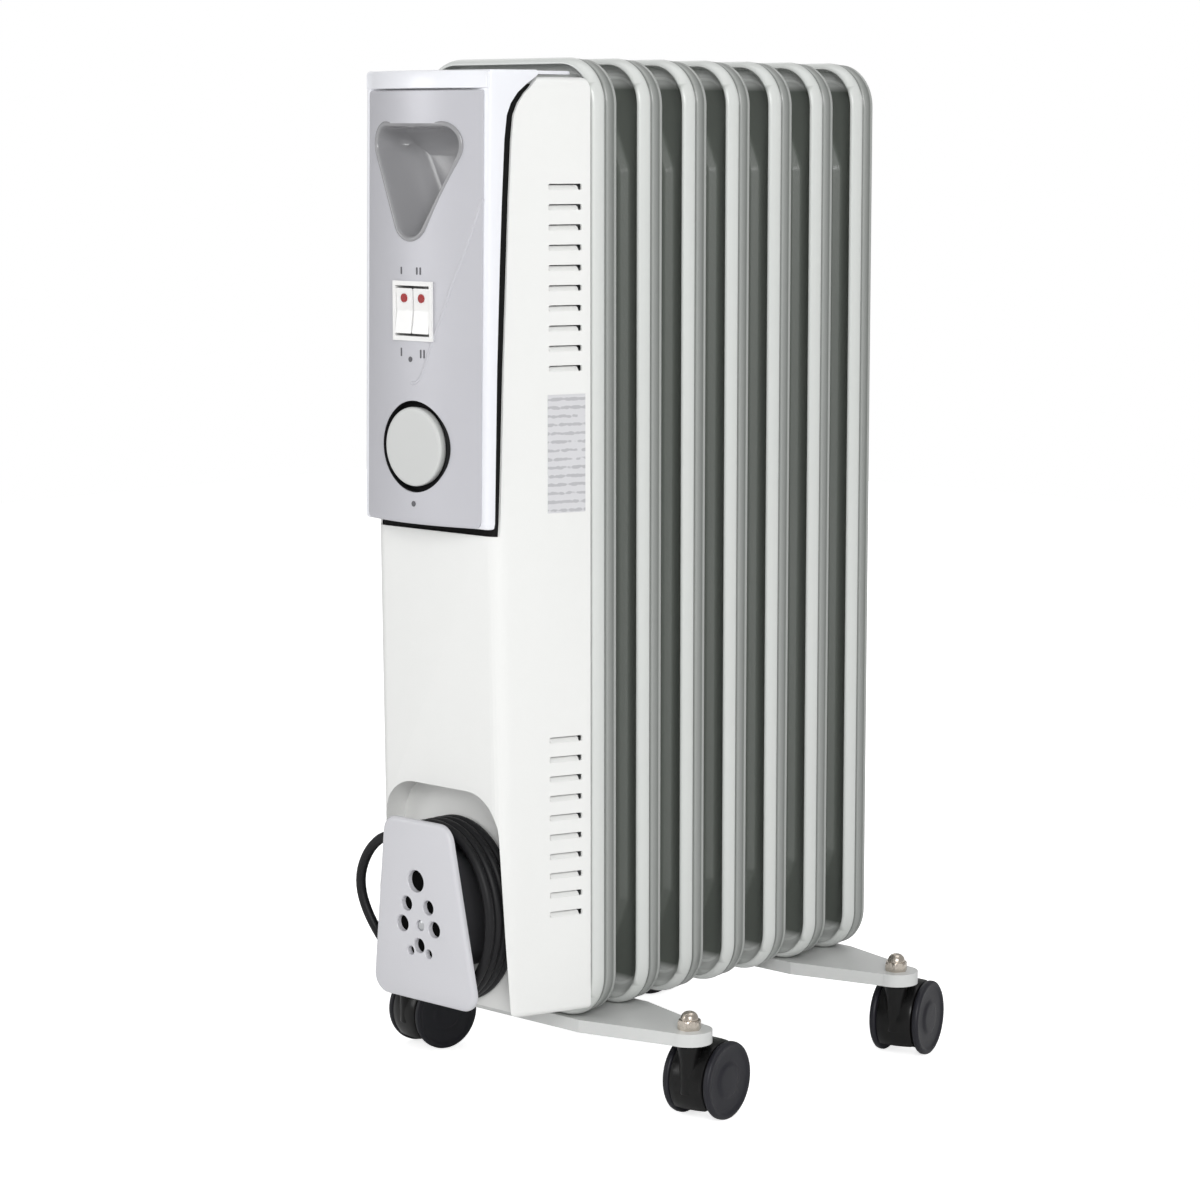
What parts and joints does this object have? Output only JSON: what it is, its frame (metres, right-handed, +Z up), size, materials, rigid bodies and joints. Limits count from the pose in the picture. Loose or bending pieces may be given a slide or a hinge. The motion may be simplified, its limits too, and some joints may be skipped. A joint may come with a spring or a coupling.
{
  "type": "oil filled radiator heater",
  "caption": "Oil filled column radiator heater with an end control unit, thermostat knob, rocker switches, cord wrap and swivel casters.",
  "frame": {"origin": "middle of the footprint, on the floor", "axes": "+Z up, X across the width of the fins, the controls face -Y and the fins follow each other along +Y"},
  "size_m": [0.2808, 0.3557, 0.638],
  "materials": {
    "fin_paint": "white baked powder coat",
    "cover_paint": "white baked powder coat",
    "zinc_steel": "zinc plated",
    "copper_steel": "bare steel",
    "gasket_rubber": "matt black",
    "label_film": "printed film",
    "housing_plastic": "satin moulded",
    "fascia_plastic": "fine satin",
    "grip_plastic": "satin moulded",
    "knob_plastic": "satin moulded",
    "phenolic": "moulded black",
    "switch_plastic": "glossy moulded",
    "neon_red": "translucent red",
    "ceramic": "natural nylon",
    "wire_insulation": "silicone sleeve",
    "wrap_plastic": "satin moulded",
    "cord_rubber": "satin black",
    "pin_brass": "nickelled brass",
    "bracket_paint": "grey-white baked coat",
    "nickel": "bright plated",
    "hood_plastic": "glossy black",
    "wheel_plastic": "dark grey"
  },
  "bodies": {
    "radiator": {"fin_1": "fin_paint", "fin_2": "fin_paint", "fin_3": "fin_paint", "fin_4": "fin_paint", "fin_5": "fin_paint", "fin_6": "fin_paint", "fin_7": "fin_paint", "header_sleeves": "fin_paint", "filler_plug": "zinc_steel", "element_tubes": "copper_steel", "element_gasket": "gasket_rubber", "element_flange": "zinc_steel", "heat_shield": "zinc_steel", "shield_studs": "zinc_steel", "end_cover": "cover_paint", "cover_screws": "zinc_steel", "rating_label": "label_film", "control_housing": "housing_plastic", "fascia": "fascia_plastic", "grip_cup": "grip_plastic", "thermostat_body": "phenolic", "switch_frame": "switch_plastic", "thermal_cutout": "phenolic", "terminal_block": "ceramic", "wiring": "wire_insulation", "wrap_hub": "wrap_plastic", "wrap_plate": "wrap_plastic", "plate_screw": "zinc_steel", "cord_gland": "cord_rubber", "strain_relief": "cord_rubber", "cord_lead": "cord_rubber", "cord_tail": "cord_rubber", "cord_coil": "cord_rubber", "plug_body": "cord_rubber", "plug_pins": "pin_brass", "front_bracket": "bracket_paint", "rear_bracket": "bracket_paint", "front_u_bolt": "zinc_steel", "rear_u_bolt": "zinc_steel", "wing_nuts": "zinc_steel", "caster_stems": "zinc_steel", "acorn_nuts": "nickel"},
    "knob": {"thermostat_knob": "knob_plastic", "thermostat_shaft": "zinc_steel"},
    "rocker_left": {"rocker_left": "switch_plastic", "neon_lens_left": "neon_red"},
    "rocker_right": {"rocker_right": "switch_plastic", "neon_lens_right": "neon_red"},
    "caster_front_right": {"caster_hood_front_right": "hood_plastic"},
    "wheel_front_right_a": {"wheel_front_right_a": "wheel_plastic"},
    "wheel_front_right_b": {"wheel_front_right_b": "wheel_plastic"},
    "caster_front_left": {"caster_hood_front_left": "hood_plastic"},
    "wheel_front_left_a": {"wheel_front_left_a": "wheel_plastic"},
    "wheel_front_left_b": {"wheel_front_left_b": "wheel_plastic"},
    "caster_rear_right": {"caster_hood_rear_right": "hood_plastic"},
    "wheel_rear_right_a": {"wheel_rear_right_a": "wheel_plastic"},
    "wheel_rear_right_b": {"wheel_rear_right_b": "wheel_plastic"},
    "caster_rear_left": {"caster_hood_rear_left": "hood_plastic"},
    "wheel_rear_left_a": {"wheel_rear_left_a": "wheel_plastic"},
    "wheel_rear_left_b": {"wheel_rear_left_b": "wheel_plastic"}
  },
  "joints": [
    {"name": "knob_turn", "type": "hinge", "parent": "radiator", "child": "knob", "pos_m": [0, -0.175, 0.41], "axis": [0, 1, 0], "range_deg": [0, 300]},
    {"name": "rocker_left_tilt", "type": "hinge", "parent": "radiator", "child": "rocker_left", "pos_m": [-0.0073, -0.1733, 0.49], "axis": [1, 0, 0], "range_deg": [0, 8]},
    {"name": "rocker_right_tilt", "type": "hinge", "parent": "radiator", "child": "rocker_right", "pos_m": [0.0073, -0.1733, 0.49], "axis": [1, 0, 0], "range_deg": [0, 8]},
    {"name": "swivel_front_right", "type": "hinge", "parent": "radiator", "child": "caster_front_right", "pos_m": [0.123, -0.068, 0.024], "axis": [0, 0, 1], "continuous": true},
    {"name": "spin_front_right_a", "type": "hinge", "parent": "caster_front_right", "child": "wheel_front_right_a", "pos_m": [0.12036, -0.04918, 0.024], "axis": [0.9903, 0.1392, 0], "continuous": true},
    {"name": "spin_front_right_b", "type": "hinge", "parent": "caster_front_right", "child": "wheel_front_right_b", "pos_m": [0.12036, -0.04918, 0.024], "axis": [0.9903, 0.1392, 0], "continuous": true},
    {"name": "swivel_front_left", "type": "hinge", "parent": "radiator", "child": "caster_front_left", "pos_m": [-0.123, -0.068, 0.024], "axis": [0, 0, 1], "continuous": true},
    {"name": "spin_front_left_a", "type": "hinge", "parent": "caster_front_left", "child": "wheel_front_left_a", "pos_m": [-0.12036, -0.04918, 0.024], "axis": [0.9903, -0.1392, 0], "continuous": true},
    {"name": "spin_front_left_b", "type": "hinge", "parent": "caster_front_left", "child": "wheel_front_left_b", "pos_m": [-0.12036, -0.04918, 0.024], "axis": [0.9903, -0.1392, 0], "continuous": true},
    {"name": "swivel_rear_right", "type": "hinge", "parent": "radiator", "child": "caster_rear_right", "pos_m": [0.123, 0.132, 0.024], "axis": [0, 0, 1], "continuous": true},
    {"name": "spin_rear_right_a", "type": "hinge", "parent": "caster_rear_right", "child": "wheel_rear_right_a", "pos_m": [0.11776, 0.15026, 0.024], "axis": [0.9613, 0.2756, 0], "continuous": true},
    {"name": "spin_rear_right_b", "type": "hinge", "parent": "caster_rear_right", "child": "wheel_rear_right_b", "pos_m": [0.11776, 0.15026, 0.024], "axis": [0.9613, 0.2756, 0], "continuous": true},
    {"name": "swivel_rear_left", "type": "hinge", "parent": "radiator", "child": "caster_rear_left", "pos_m": [-0.123, 0.132, 0.024], "axis": [0, 0, 1], "continuous": true},
    {"name": "spin_rear_left_a", "type": "hinge", "parent": "caster_rear_left", "child": "wheel_rear_left_a", "pos_m": [-0.11776, 0.15026, 0.024], "axis": [0.9613, -0.2756, 0], "continuous": true},
    {"name": "spin_rear_left_b", "type": "hinge", "parent": "caster_rear_left", "child": "wheel_rear_left_b", "pos_m": [-0.11776, 0.15026, 0.024], "axis": [0.9613, -0.2756, 0], "continuous": true}
  ]
}
